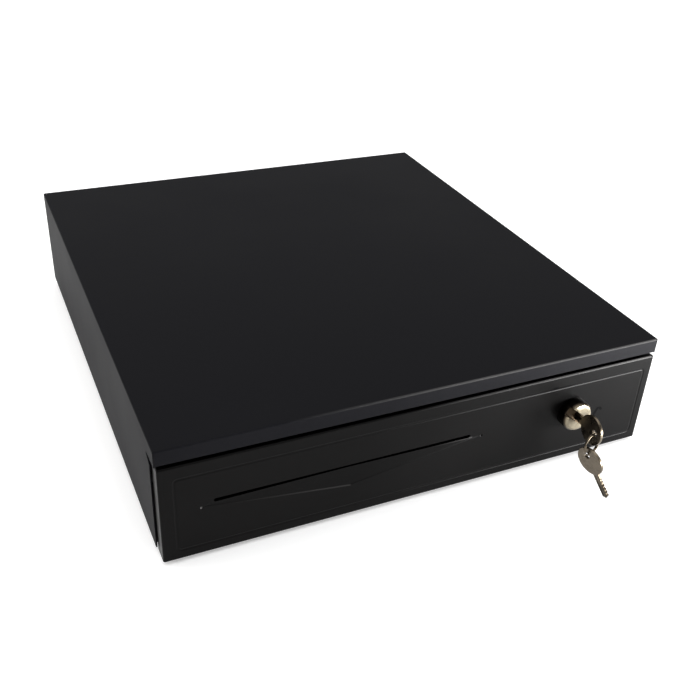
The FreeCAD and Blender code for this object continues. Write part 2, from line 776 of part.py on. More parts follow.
def lock_body():
    """Lock barrel with a thick bevelled face that a broad groove crosses."""
    profile = [(0, lock_face), (9.9, lock_face), (11.4, lock_face + 0.5), (13.1, lock_face + 2.6), (13.1, 0)]
    profile += [(9.5, 0), (9.5, 22), (0, 22)]
    points = [Vector(lock_x + r, y, lock_z) for r, y in profile]
    face = Part.Face(Part.makePolygon(points + points[:1]))
    body = face.revolve(Vector(lock_x, 0, lock_z), Vector(0, 1, 0), 360)
    body = body.cut(rod((lock_x, lock_face + 3.6, lock_z), (lock_x, 23, lock_z), plug_radius + 0.05))
    groove = block(-20, 20, lock_face - 1, lock_face + 3.6, -3.75, 3.75)
    groove.rotate(Vector(0, 0, 0), Vector(0, 1, 0), 37)
    groove.translate(Vector(lock_x, 0, lock_z))
    return body.cut(groove)


def lock_nut():
    """Thin hexagon nut behind the front panel."""
    corners = []
    for degrees in range(0, 360, 60):
        angle = math.radians(degrees)
        corners.append((lock_x + 13.8 * math.cos(angle), front_sheet, lock_z + 13.8 * math.sin(angle)))
    return prism(corners, (0, 4.5, 0)).cut(rod((lock_x, 0, lock_z), (lock_x, 10, lock_z), 9.5))


def lock_plug():
    """Plug that the key turns, with an upright keyway."""
    plug = rod((lock_x, lock_face + 3.7, lock_z), (lock_x, 22.3, lock_z), plug_radius)
    keyway = block(lock_x - 1.2, lock_x + 1.2, lock_face, 8, lock_z - 3.45, lock_z + 3.45)
    return plug.cut(keyway).cut(rod((lock_x, 15, lock_z), (lock_x, 23, lock_z), 1.5))


def lock_cam():
    """Arm behind the lock; turned down it drops behind the pan's catch."""
    arm = block(lock_x - 32.5, lock_x, 22.3, 24.3, lock_z - 6, lock_z + 6)
    ends = [rod((lock_x, 22.3, lock_z), (lock_x, 24.3, lock_z), 7.0)]
    ends.append(rod((lock_x - 32.5, 22.3, lock_z), (lock_x - 32.5, 24.3, lock_z), 6.0))
    return join([arm] + ends).cut(rod((lock_x, 22, lock_z), (lock_x, 25, lock_z), 1.5))


def cam_screw():
    """Screw that holds the cam on the plug."""
    return screw((lock_x, 24.3, lock_z), (0, -1, 0), 3.2, 2.0, 1.5, 8.0)


def flat_key():
    """Cut key with an oval bow, blade along +Y, lying in the Y-Z plane with its axis on Y."""
    half = key_thickness / 2
    curve = Part.Ellipse(Vector(-half, bow_centre_y, 0), bow_half_height, bow_half_length)
    curve.Axis = Vector(1, 0, 0)
    curve.AngleXU = 0
    bow = Part.Face(Part.Wire(curve.toShape())).extrude(Vector(key_thickness, 0, 0))
    bow = rounded(bow, 0.35, lambda b: b.XLength < 0.01)
    start = bow_centre_y + bow_half_length - 1.5
    teeth = [(blade_tip_y, 1.2), (blade_tip_y - 1.8, 3.1), (start, 3.1), (start, -3.1), (-11.0, -3.1)]
    for place, depth in ((-9.2, 0.8), (-6.3, 0.4), (-3.4, 1.1), (-0.5, 0.6), (2.4, 1.0)):
        teeth += [(place - 0.3, -3.1 + depth), (place + 0.3, -3.1 + depth), (place + 1.4, -3.05)]
    teeth += [(blade_tip_y, -0.6)]
    blade = prism([(-0.95, y, z) for y, z in teeth], (1.9, 0, 0))
    groove_start, groove_end = start + 1.6, blade_tip_y + 1
    key = join([bow, blade]).cut(rod((-5, key_hole_y, 0), (5, key_hole_y, 0), key_hole_radius))
    key = key.cut(block(0.55, 2, groove_start, groove_end, -0.3, 1.0))
    return key.cut(block(-2, -0.55, groove_start, groove_end, 0.9, 1.9))


def lock_key():
    """Key in the lock."""
    key = flat_key()
    key.translate(Vector(lock_x, 0, lock_z))
    return key


def spare_key():
    """Second key, hanging from the ring and leaning out with its tip on the bench."""
    along = (spare_tip - spare_hole).normalize()
    level = along.cross(Vector(0, 0, 1)).normalize()
    turn = FreeCAD.Rotation(along, spare_roll - 90)
    width = turn.multVec(level) * -1
    normal = along.cross(width)
    key = flat_key()
    key.translate(Vector(0, -key_hole_y, 0))
    hung = FreeCAD.Placement(spare_hole, FreeCAD.Rotation(normal, along, width, "YXZ"))
    key.Placement = hung.multiply(key.Placement)
    return key


def key_ring():
    """Small ring through both keys' holes, turned a little about the line between them."""
    top = Vector(lock_x, key_hole_y, lock_z)
    span = spare_hole - top
    flat = Vector(1, 0, 0).cross(span).normalize()
    axis = FreeCAD.Rotation(span, ring_tilt).multVec(flat)
    return Part.makeTorus(span.Length / 2, ring_wire, (top + spare_hole) * 0.5, axis)


def all_nodes():
    """Every separate piece under the name of its file."""
    nodes = {
        "top_cover": top_cover(),
        "base_pan": base_pan(),
        "cover_screws": cover_screws(),
        "rear_screws": rear_screws(),
        "rubber_feet": rubber_feet(),
        "foot_screws": foot_screws(),
        "outer_slide_right": outer_slide(),
        "outer_slide_left": outer_slide_left(),
        "outer_slide_rivets": outer_slide_rivets(),
        "rubber_buffers": rubber_buffers(),
        "signal_socket": signal_socket(),
        "socket_contacts": socket_contacts(),
        "wiring_harness": wiring_harness(),
        "latch_bracket": latch_bracket(),
        "bracket_screws": bracket_screws(),
        "solenoid_frame": solenoid_frame(),
        "solenoid_coil": solenoid_coil(),
        "solenoid_plunger": solenoid_plunger(),
        "plunger_spring": plunger_spring(),
        "latch_pivot": latch_pivot(),
        "latch_lever": latch_lever(),
        "ejector_housing": ejector_housing(),
        "ejector_plunger": ejector_plunger(),
        "ejector_spring": ejector_spring(),
        "micro_switch": micro_switch(),
        "switch_lever": switch_lever(),
        "switch_bracket": switch_bracket(),
        "ball_cage_right": ball_cage(),
        "ball_cage_left": ball_cage_left(),
        "slide_balls_right": slide_balls(),
        "slide_balls_left": slide_balls_left(),
        "drawer_front": drawer_front(),
        "drawer_box": drawer_box(),
        "front_screws": front_screws(),
        "inner_slide_right": inner_slide(),
        "inner_slide_left": inner_slide_left(),
        "inner_slide_rivets": inner_slide_rivets(),
        "strike_plate": strike_plate(),
        "strike_rivets": strike_rivets(),
        "media_guide": media_guide(),
        "till_rests": till_rests(),
        "till_tray": till_tray(),
        "bill_dividers": bill_dividers(),
        "coin_tray": coin_tray(),
        "coin_dividers": coin_dividers(),
        "clip_axle": clip_axle(),
        "clip_springs": clip_springs(),
        "lock_body": lock_body(),
        "lock_nut": lock_nut(),
        "lock_plug": lock_plug(),
        "lock_cam": lock_cam(),
        "cam_screw": cam_screw(),
        "lock_key": lock_key(),
        "key_ring": key_ring(),
        "spare_key": spare_key(),
    }
    for index in range(5):
        nodes["bill_clip_%d" % (index + 1)] = bill_clip(index)
    return nodes


os.makedirs("parts", exist_ok=True)
for node, made in all_nodes().items():
    shape = Part.makeCompound(made) if isinstance(made, list) else made
    shape.translate(Vector(0, front_face_y, 0))
    shape.exportStep("parts/%s.step" % node)
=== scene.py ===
"""Looks of the cash drawer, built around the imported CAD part.

Everything is in metres, in the part's own frame. A length in millimetres is multiplied by MM.
"""

import json
import math

import bpy
from mathutils import Matrix, Vector


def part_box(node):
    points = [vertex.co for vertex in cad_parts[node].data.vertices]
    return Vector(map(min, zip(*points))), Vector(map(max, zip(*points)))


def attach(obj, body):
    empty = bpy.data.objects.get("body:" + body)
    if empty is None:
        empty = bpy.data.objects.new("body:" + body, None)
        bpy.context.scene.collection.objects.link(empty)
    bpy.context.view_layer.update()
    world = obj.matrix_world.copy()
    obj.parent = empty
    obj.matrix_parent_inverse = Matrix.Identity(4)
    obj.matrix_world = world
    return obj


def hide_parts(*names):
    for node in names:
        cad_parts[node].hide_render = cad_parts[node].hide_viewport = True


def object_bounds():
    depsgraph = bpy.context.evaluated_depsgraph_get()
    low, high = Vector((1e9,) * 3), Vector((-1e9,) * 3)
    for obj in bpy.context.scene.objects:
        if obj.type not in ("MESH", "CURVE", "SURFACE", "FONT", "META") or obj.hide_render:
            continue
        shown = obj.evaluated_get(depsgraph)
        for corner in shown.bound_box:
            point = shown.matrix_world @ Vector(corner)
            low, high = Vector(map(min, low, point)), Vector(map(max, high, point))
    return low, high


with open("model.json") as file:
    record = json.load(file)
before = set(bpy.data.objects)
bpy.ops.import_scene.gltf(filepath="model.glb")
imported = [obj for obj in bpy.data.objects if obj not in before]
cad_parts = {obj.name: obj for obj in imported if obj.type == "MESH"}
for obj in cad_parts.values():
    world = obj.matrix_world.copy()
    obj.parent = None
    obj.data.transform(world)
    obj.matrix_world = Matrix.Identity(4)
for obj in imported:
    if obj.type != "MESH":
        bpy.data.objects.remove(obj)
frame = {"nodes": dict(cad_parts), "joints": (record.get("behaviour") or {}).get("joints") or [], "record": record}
cad_low, cad_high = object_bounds()
nodes = frame["nodes"]
MM = 0.001
WHITE = (1, 1, 1)

front_low, front_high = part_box("drawer_front")
front_y = front_low.y
cover_low, cover_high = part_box("top_cover")
lock_low, lock_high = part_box("lock_body")
lock_axis = Vector(((lock_low.x + lock_high.x) / 2, lock_low.y, (lock_low.z + lock_high.z) / 2))


# ---------------------------------------------------------------- materials


class Shader:
    """A Principled material under construction, with short calls for the nodes it uses.

    The colour and roughness that it starts with stand in where its nodes aren't read.
    """

    def __init__(self, name, colour, metallic, roughness):
        self.material = bpy.data.materials.new(name)
        self.material.use_nodes = True
        self.tree = self.material.node_tree
        self.surface = self.tree.nodes["Principled BSDF"]
        self.surface.inputs["Base Color"].default_value = (*colour, 1)
        self.surface.inputs["Metallic"].default_value = metallic
        self.surface.inputs["Roughness"].default_value = roughness
        self.place = self.node("ShaderNodeTexCoord").outputs["Object"]

    def node(self, kind, **settings):
        made = self.tree.nodes.new(kind)
        for key, value in settings.items():
            setattr(made, key, value)
        return made

    def link(self, start, end):
        self.tree.links.new(start, end)

    def stretch(self, x, y, z):
        """Coordinates scaled along each axis, for grain that runs one way."""
        mapping = self.node("ShaderNodeMapping")
        mapping.inputs["Scale"].default_value = (x, y, z)
        self.link(self.place, mapping.inputs["Vector"])
        return mapping.outputs["Vector"]

    def noise(self, scale, detail=2.0, roughness=0.5, place=None):
        made = self.node("ShaderNodeTexNoise")
        made.inputs["Scale"].default_value = scale
        made.inputs["Detail"].default_value = detail
        made.inputs["Roughness"].default_value = roughness
        self.link(place or self.place, made.inputs["Vector"])
        return made.outputs["Fac"]

    def cells(self, scale):
        made = self.node("ShaderNodeTexVoronoi")
        made.inputs["Scale"].default_value = scale
        self.link(self.place, made.inputs["Vector"])
        return made.outputs["Distance"]

    def ramp(self, factor, low, high, start=0.3, end=0.7):
        """A factor turned into a colour between two colours."""
        made = self.node("ShaderNodeValToRGB")
        made.color_ramp.elements[0].position = start
        made.color_ramp.elements[0].color = (*low, 1)
        made.color_ramp.elements[1].position = end
        made.color_ramp.elements[1].color = (*high, 1)
        self.link(factor, made.inputs["Fac"])
        return made.outputs["Color"]

    def spread(self, factor, low, high, start=0.3, end=0.7):
        """A factor turned into a number between two numbers."""
        made = self.node("ShaderNodeMapRange")
        made.inputs["From Min"].default_value = start
        made.inputs["From Max"].default_value = end
        made.inputs["To Min"].default_value = low
        made.inputs["To Max"].default_value = high
        self.link(factor, made.inputs["Value"])
        return made.outputs["Result"]

    def shade(self, colour, factor):
        """A colour multiplied by another."""
        made = self.node("ShaderNodeMix", data_type="RGBA", blend_type="MULTIPLY")
        made.inputs["Factor"].default_value = 1.0
        self.link(colour, made.inputs["A"])
        self.link(factor, made.inputs["B"])
        return made.outputs["Result"]

    def blend(self, factor, under, over):
        """A colour that goes over to another colour, plain or made by nodes, as the factor grows."""
        made = self.node("ShaderNodeMix", data_type="RGBA")
        self.link(factor, made.inputs["Factor"])
        self.link(under, made.inputs["A"])
        if isinstance(over, tuple):
            made.inputs["B"].default_value = (*over, 1)
        else:
            self.link(over, made.inputs["B"])
        return made.outputs["Result"]

    def vector(self, operation, first, second=None):
        """Vector arithmetic on an output and, where the operation needs one, a fixed vector."""
        made = self.node("ShaderNodeVectorMath", operation=operation)
        self.link(first, made.inputs[0])
        if second is not None:
            made.inputs[1].default_value = second
        gives_number = operation in ("LENGTH", "DOT_PRODUCT")
        return made.outputs["Value" if gives_number else "Vector"]

    def axis(self, letter):
        """The coordinate along one axis."""
        made = self.node("ShaderNodeSeparateXYZ")
        self.link(self.place, made.inputs["Vector"])
        return made.outputs[letter]

    def times(self, first, second):
        made = self.node("ShaderNodeMath", operation="MULTIPLY")
        self.link(first, made.inputs[0])
        self.link(second, made.inputs[1])
        return made.outputs["Value"]

    def band(self, start, end, reach, strength, full):
        """A factor within reach of an edge, growing to its strength over the first share of the edge."""
        along = (end - start).normalized()
        length = (end - start).length
        solid = reach * 0.6
        offset = self.vector("SUBTRACT", self.place, start)
        run = self.vector("DOT_PRODUCT", offset, along)
        away = self.vector("LENGTH", self.vector("CROSS_PRODUCT", offset, along))
        near = self.spread(away, strength, 0.0, solid, reach)
        grown = self.spread(run, 0.0, 1.0, 0.0, length * full)
        ended = self.spread(run, 1.0, 0.0, length - MM, length)
        return self.times(self.times(near, grown), ended)

    def colour(self, output):
        self.link(output, self.surface.inputs["Base Color"])

    def roughness(self, output):
        self.link(output, self.surface.inputs["Roughness"])

    def bump(self, factor, distance, strength):
        """Relief of that many metres."""
        made = self.node("ShaderNodeBump")
        made.inputs["Distance"].default_value = distance
        made.inputs["Strength"].default_value = strength
        self.link(factor, made.inputs["Height"])
        self.link(made.outputs["Normal"], self.surface.inputs["Normal"])


# painted highlight: paler paint laid along some bends of the black coat
EDGE_HIGHLIGHT_PAINT = (0.075, 0.073, 0.072)
# painted shade down in the lock's groove
GROOVE_PAINTED_SHADE = (0.085, 0.062, 0.040)
# nearly black, on the lock's barrel
DARK_BARREL = (0.016, 0.013, 0.010)
# darker tone low down a key's blade
LOW_BLADE_DARK = (0.050, 0.040, 0.028)


def scaled(colour, factor):
    """A colour made darker or lighter."""
    return tuple(min(1.0, channel * factor) for channel in colour)


def powder_coat(name, dark, light, roughness, gloss, edges=()):
    """Satin black powder coat: fine orange peel, faint clouds, and painted highlights along some edges."""
    shader = Shader(name, light, 0.0, roughness)
    cloud = shader.noise(scale=9.0, detail=3.0)
    grain = shader.ramp(shader.noise(scale=1500.0), scaled(WHITE, 0.82), WHITE)
    coat = shader.shade(shader.ramp(cloud, dark, light), grain)
    # each band paints a highlight along an edge, paler paint where light would catch the bend
    for edge in edges:
        coat = shader.blend(shader.band(*edge), coat, EDGE_HIGHLIGHT_PAINT)
    shader.colour(coat)
    shader.roughness(shader.spread(cloud, roughness - 0.03, roughness + 0.04))
    shader.bump(shader.noise(scale=900.0), distance=0.05 * MM, strength=0.5)
    shader.surface.inputs["Specular IOR Level"].default_value = gloss
    return shader.material


def bare_steel(name, colour, roughness, run):
    """Rolled or plated steel: grain along one direction and faint cloudy patches."""
    shader = Shader(name, colour, 1.0, roughness)
    streaks = shader.noise(scale=1.0, detail=4.0, roughness=0.6, place=shader.stretch(*run))
    patches = shader.ramp(shader.noise(scale=60.0, detail=3.0), scaled(colour, 0.82), colour)
    shader.colour(shader.shade(patches, shader.ramp(streaks, scaled(WHITE, 0.88), WHITE)))
    shader.roughness(shader.spread(streaks, roughness - 0.06, roughness + 0.08))
    shader.bump(streaks, distance=0.03 * MM, strength=0.5)
    return shader.material


def bright_metal(name, colour, roughness, scale):
    """Plated and tumbled small metal: tiny scratches and soft tarnish."""
    shader = Shader(name, colour, 1.0, roughness)
    tarnish = shader.noise(scale, detail=4.0, roughness=0.6)
    scratches = shader.noise(scale * 5, detail=3.0)
    shader.colour(shader.ramp(tarnish, scaled(colour, 0.72), colour, 0.35, 0.6))
    shader.roughness(shader.spread(scratches, roughness - 0.05, roughness + 0.12))
    shader.bump(shader.noise(scale * 6), distance=0.03 * MM, strength=0.35)
    return shader.material


def lock_metal(name):
    """Pale turned nickel on the lock's face, nearly black on the barrel, and painted shade down in the groove."""
    shader = Shader(name, (0.74, 0.66, 0.50), 1.0, 0.22)
    tarnish = shader.noise(scale=260.0, detail=4.0, roughness=0.6)
    face = shader.ramp(tarnish, (0.20, 0.172, 0.122), (0.28, 0.246, 0.182))
    depth = shader.spread(shader.axis("Y"), 0.0, 1.0, lock_low.y + 0.7 * MM, lock_low.y + 1.9 * MM)
    offset = shader.vector("SUBTRACT", shader.place, lock_axis)
    reach = shader.vector("LENGTH", shader.vector("MULTIPLY", offset, (1, 0, 1)))
    rim = shader.spread(reach, 0.0, 1.0, 11.8 * MM, 12.9 * MM)
    # painted shade inside the rim, down in the groove; nearly black barrel outside it
    groove_shade_and_barrel = shader.ramp(rim, GROOVE_PAINTED_SHADE, DARK_BARREL, 0.0, 1.0)
    shader.colour(shader.blend(depth, face, groove_shade_and_barrel))
    shader.roughness(shader.spread(tarnish, 0.26, 0.36))
    shader.bump(shader.noise(scale=900.0), distance=0.01 * MM, strength=0.2)
    return shader.material


def key_metal(name):
    """Brown-grey nickel on a key's bow, darker down the blade of the hanging key."""
    shader = Shader(name, (0.17, 0.14, 0.105), 1.0, 0.27)
    tarnish = shader.noise(scale=160.0, detail=4.0, roughness=0.6)
    bow = shader.ramp(tarnish, (0.105, 0.086, 0.062), (0.135, 0.112, 0.083), 0.35, 0.65)
    blade = shader.spread(shader.axis("Z"), 1.0, 0.0, 9.0 * MM, 14.0 * MM)
    shader.colour(shader.blend(blade, bow, LOW_BLADE_DARK))
    shader.roughness(shader.spread(tarnish, 0.24, 0.34))
    shader.bump(shader.noise(scale=900.0), distance=0.01 * MM, strength=0.25)
    return shader.material


def moulded(name, colour, roughness, grain):
    """Injection-moulded plastic with a fine spark-eroded texture."""
    shader = Shader(name, colour, 0.0, roughness)
    shader.colour(shader.ramp(shader.noise(scale=20.0, detail=3.0), colour, scaled(colour, 1.25)))
    shader.roughness(shader.spread(shader.noise(grain), roughness - 0.05, roughness + 0.05))
    shader.bump(shader.cells(grain), distance=0.05 * MM, strength=0.5)
    return shader.material


def rubbery(name, colour):
    """Matte moulded rubber with a little bloom."""
    shader = Shader(name, colour, 0.0, 0.8)
    bloom = shader.noise(scale=80.0, detail=4.0)
    shader.colour(shader.ramp(bloom, colour, scaled(colour, 2.2), 0.4, 0.8))
    shader.bump(shader.noise(scale=700.0, detail=3.0), distance=0.08 * MM, strength=0.5)
    return shader.material


def wound_coil(name):
    """Amber tape over enamelled wire, its turns showing through."""
    shader = Shader(name, (0.55, 0.30, 0.05), 0.0, 0.35)
    wave = shader.node("ShaderNodeTexWave", wave_type="BANDS", bands_direction="X")
    wave.inputs["Scale"].default_value = 320.0
    shader.link(shader.place, wave.inputs["Vector"])
    turns = wave.outputs["Fac"]
    shader.colour(shader.ramp(turns, (0.30, 0.13, 0.02), (0.62, 0.36, 0.07), 0.2, 0.8))
    shader.bump(turns, distance=0.1 * MM, strength=0.4)
    return shader.material


def painted_highlight_band(y, start, end, reach, strength, full):
    """A painted highlight band's settings, from its ends' x and z and its reach in millimetres, at a y in metres.
    """
    first = Vector((start[0] * MM, y, start[1] * MM))
    last = Vector((end[0] * MM, y, end[1] * MM))
    return first, last, reach * MM, strength, full


cover_top = cover_high.z / MM
panel_top = front_high.z / MM
# painted highlights along the cover's front bend, the drawer's top edge, the slot's lower lip, the left crease and
# the left dimple; most grow stronger towards the right
FRONT_BEND_HIGHLIGHT = painted_highlight_band(cover_low.y, (-115, cover_top), (204, cover_top), 1.5, 0.55, 0.5)
DRAWER_TOP_HIGHLIGHT = painted_highlight_band(front_y, (-10, panel_top), (203, panel_top), 1.3, 1.0, 1.0)
SLOT_LIP_HIGHLIGHT = painted_highlight_band(front_y, (-45, 47.1), (39.5, 47.1), 0.9, 0.42, 0.8)
LEFT_CREASE_HIGHLIGHT = painted_highlight_band(front_y, (-160, 43.3), (-62, 30.8), 0.7, 0.15, 0.8)
LEFT_DIMPLE_HIGHLIGHT = painted_highlight_band(front_y, (-175.6, 44.9), (-173.4, 44.9), 0.9, 0.8, 0.1)

MATERIALS = {
    "cover_paint": powder_coat(
        "cover powder coat",
        dark=(0.0034, 0.0034, 0.0047),
        light=(0.0049, 0.0049, 0.0064),
        roughness=0.56,
        gloss=0.05,
        edges=(FRONT_BEND_HIGHLIGHT,),
    ),
    "pan_paint": powder_coat(
        "pan powder coat",
        dark=(0.010, 0.010, 0.011),
        light=(0.014, 0.014, 0.015),
        roughness=0.5,
        gloss=0.1,
    ),
    # the drawer front's coat is the cover's black paint made darker, as painted shade; its roughness and gloss
    # differ too
    "front_paint": powder_coat(
        "front powder coat",
        dark=(0.0016, 0.0015, 0.0015),
        light=(0.0025, 0.0023, 0.0023),
        roughness=0.34,
        gloss=0.058,
        edges=(DRAWER_TOP_HIGHLIGHT, SLOT_LIP_HIGHLIGHT, LEFT_CREASE_HIGHLIGHT, LEFT_DIMPLE_HIGHLIGHT),
    ),
    "zinc_steel": bare_steel("zinc plated sheet", (0.56, 0.57, 0.59), 0.32, run=(900, 40, 900)),
    "screw_steel": bright_metal("zinc plated fasteners", (0.52, 0.53, 0.55), 0.30, scale=400.0),
    "ball_steel": bright_metal("polished balls", (0.78, 0.78, 0.80), 0.10, scale=300.0),
    "foot_rubber": rubbery("foot rubber", (0.012, 0.012, 0.012)),
    "lock_nickel": lock_metal("lock nickel"),
    "key_nickel": key_metal("key nickel"),
    "till_plastic": moulded("till plastic", (0.018, 0.018, 0.019), 0.5, grain=1400.0),
    "coin_plastic": moulded("coin tray plastic", (0.024, 0.024, 0.026), 0.42, grain=1600.0),
    "clip_plastic": moulded("clip plastic", (0.020, 0.020, 0.021), 0.30, grain=1800.0),
    "spring_steel": bright_metal("spring wire", (0.60, 0.60, 0.60), 0.22, scale=300.0),
    "coil_tape": wound_coil("coil tape"),
    "socket_plastic": moulded("socket plastic", (0.015, 0.015, 0.016), 0.28, grain=1500.0),
    "contact_gold": bright_metal("gold flash", (0.85, 0.62, 0.28), 0.2, scale=500.0),
    "lead_sleeve": rubbery("lead sleeve", (0.015, 0.015, 0.015)),
    "latch_steel": bare_steel("hardened steel", (0.42, 0.42, 0.43), 0.36, run=(500, 500, 60)),
}


# ---------------------------------------------------------------- shaping

# nodes with a face full of holes, whose faces stay in triangles
PIERCED = ("coin_tray",)

# how far each node's edges are rounded, in millimetres
EDGE_WIDTHS = {
    "top_cover": 0.25,
    "base_pan": 0.25,
    "drawer_front": 0.18,
    "drawer_box": 0.25,
    "till_tray": 0.6,
    "coin_tray": 0.4,
    "bill_dividers": 0.3,
    "coin_dividers": 0.3,
    "media_guide": 0.2,
    "lock_body": 0.25,
    "lock_nut": 0.3,
    "lock_cam": 0.3,
    "lock_key": 0.2,
    "spare_key": 0.2,
    "latch_lever": 0.3,
    "latch_bracket": 0.3,
    "solenoid_frame": 0.3,
    "signal_socket": 0.4,
    "micro_switch": 0.3,
    "strike_plate": 0.2,
    "till_rests": 0.2,
    "switch_bracket": 0.3,
    "ejector_housing": 0.4,
    "outer_slide_right": 0.15,
    "outer_slide_left": 0.15,
    "inner_slide_right": 0.15,
    "inner_slide_left": 0.15,
}


def soften(thing, width):
    """Rounds a piece's sharp edges by that many metres."""
    same_point = 0.001 * MM
    flat_angle = math.radians(0.5)
    sharp_angle = math.radians(30)
    weld = thing.modifiers.new("weld", "WELD")
    weld.merge_threshold = same_point
    if thing.name not in PIERCED:
        flat = thing.modifiers.new("flat faces", "DECIMATE")
        flat.decimate_type = "DISSOLVE"
        flat.angle_limit = flat_angle
    bevel = thing.modifiers.new("soft edges", "BEVEL")
    bevel.width = width
    bevel.segments = 2
    bevel.limit_method = "ANGLE"
    bevel.angle_limit = sharp_angle
    bevel.harden_normals = True


for part in frame["record"]["subparts"]:
    shown = nodes[part["node"]]
    shown.data.materials.clear()
    shown.data.materials.append(MATERIALS[part["material_slot"]])
    if part["node"] in EDGE_WIDTHS:
        soften(shown, EDGE_WIDTHS[part["node"]] * MM)


# ---------------------------------------------------------------- wire, leads and marks

# degrees that the ring turns about the line through both keys' holes
RING_TILT = -18.0
RING_WIRE = 0.55 * MM

# each stroke's middle to the right of and above the lock, its tilt, its length and its width
# (millimetres, and degrees)
STROKES = (
    (25.0, -7.0, 62, 9.5, 2.5),
    (29.6, -4.6, -42, 4.8, 2.0),
    (-20.0, 27.2, 8, 4.8, 1.6),
)


def show(name, data, body, slot, replaced=(), material=None):
    """A new piece on a body, with the finish of a material slot, in place of CAD nodes."""
    piece = bpy.data.objects.new(name, data)
    bpy.context.scene.collection.objects.link(piece)
    data.materials.append(material or MATERIALS[slot])
    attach(piece, body)
    if replaced:
        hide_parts(*replaced)


def wire(name, rows, radius, kind="POLY"):
    """Round wire through rows of points."""
    curve = bpy.data.curves.new(name, "CURVE")
    curve.dimensions = "3D"
    curve.bevel_depth = radius
    curve.bevel_resolution = 4
    curve.resolution_u = 16
    curve.use_fill_caps = True
    for row in rows:
        spline = curve.splines.new(kind)
        spline.points.add(len(row) - 1)
        for point, place in zip(spline.points, row):
            point.co = (*place, 1)
        spline.use_smooth = True
        if kind == "NURBS":
            spline.order_u = 3
            spline.use_endpoint_u = True
    return curve


def helix(start, along, radius, length, turns, ease=0.0):
    """Points of a coil along a direction; ease draws its end turns together."""
    side = along.orthogonal().normalized()
    up = along.cross(side)
    steps = 32 * turns
    points = []
    for step in range(steps + 1):
        part = step / steps
        angle = 2 * math.pi * turns * part
        rise = length * ((1 - ease) * part + ease * part * part * (3 - 2 * part))
        outward = side * (radius * math.cos(angle)) + up * (radius * math.sin(angle))
        points.append(start + along * rise + outward)
    return points


def box_spring(node, axis, turns):
    """Compression spring that fills a CAD spring's box along one axis."""
    wire_radius = 0.6 * MM
    low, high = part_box(node)
    middle = (low + high) / 2
    along = Vector([float(i == axis) for i in range(3)])
    across = 0 if axis else 1
    radius = (high[across] - low[across]) / 2 - wire_radius
    length = high[axis] - low[axis] - 2 * wire_radius
    start = middle - along * (length / 2)
    rows = [helix(start, along, radius, length, turns, ease=0.6)]
    show(node + "_wire", wire(node, rows, wire_radius), "casing", "spring_steel", [node])


def clip_spring_wires():
    """Torsion springs round the clips' axle, one beside the middle of each clip."""
    beside = 9.0 * MM
    axle_low, axle_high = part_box("clip_axle")
    axle = (axle_low + axle_high) / 2
    rows = []
    for index in range(1, 6):
        low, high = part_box(f"bill_clip_{index}")
        start = Vector(((low.x + high.x) / 2 + beside, axle.y, axle.z))
        rows.append(helix(start, Vector((1, 0, 0)), radius=3.1 * MM, length=5.0 * MM, turns=5))
    springs = wire("clip springs", rows, 0.4 * MM)
    show("clip_spring_wires", springs, "drawer", "spring_steel", ["clip_springs"])


def joint_place(name):
    """A point on a joint's axis."""
    for joint in frame["joints"]:
        if joint["name"] == name:
            return Vector(joint["pos_m"])


def split_ring():
    """Two turns of wire side by side through both keys' holes, which cross over between them."""
    turns = 2
    steps = 128
    crossing = 12
    top = joint_place("ring_swing")
    low = joint_place("second_key_swing")
    span = low - top
    normal = Vector((1, 0, 0)).cross(span).normalized()
    normal.rotate(Matrix.Rotation(math.radians(RING_TILT), 3, span))
    across = normal.cross(span).normalized()
    down = span.normalized()
    points = []
    for step in range(steps + 1):
        angle = 2 * math.pi * turns * step / steps
        shift = min(1.0, max(-1.0, (step - steps / 2) / crossing)) * RING_WIRE
        around = across * math.cos(angle) + down * math.sin(angle)
        points.append((top + low) / 2 + around * (span.length / 2) + normal * shift)
    show("split_ring", wire("split ring", [points], RING_WIRE), "ring", "key_nickel", ["key_ring"])


def moved(place, x, y, z):
    """A place moved by that many millimetres."""
    return place + Vector((x, y, z)) * MM


def leads():
    """Leads from the socket to the solenoid and to the switch."""
    socket_low, socket_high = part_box("signal_socket")
    coil_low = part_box("solenoid_frame")[0]
    switch_low, switch_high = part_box("micro_switch")
    socket = (socket_low + socket_high) / 2
    socket.y = socket_low.y
    coil = moved(Vector((coil_low.x, socket.y, socket.z)), 0, 0, -5)
    switch = moved(Vector((switch_low.x, switch_high.y, switch_low.z)), 3, 0, 6)
    to_coil = [socket, moved(socket, 0, -8, 0), moved(socket, 30, -8, 0), moved(coil, -10, 0, 0), coil]
    to_switch = [moved(socket, 0, -6, 0), moved(socket, 0, -6, -21), moved(switch, 0, 6, 0), switch]
    thick = wire("solenoid lead", [to_coil], 1.5 * MM, "NURBS")
    thin = wire("switch lead", [to_switch], 1.0 * MM, "NURBS")
    show("solenoid_lead", thick, "casing", "lead_sleeve", ["wiring_harness"])
    show("switch_lead", thin, "casing", "lead_sleeve")


def stroke_outline(length, width):
    """Outline of a stroke with round ends, along and across its own direction."""
    steps = 6
    outline = []
    for end in (1, -1):
        for step in range(steps + 1):
            angle = math.radians(180 * step / steps - 90)
            along = end * ((length - width) / 2 + width / 2 * math.cos(angle))
            aside = end * (width / 2 * math.sin(angle))
            outline.append((along, aside))
    return outline


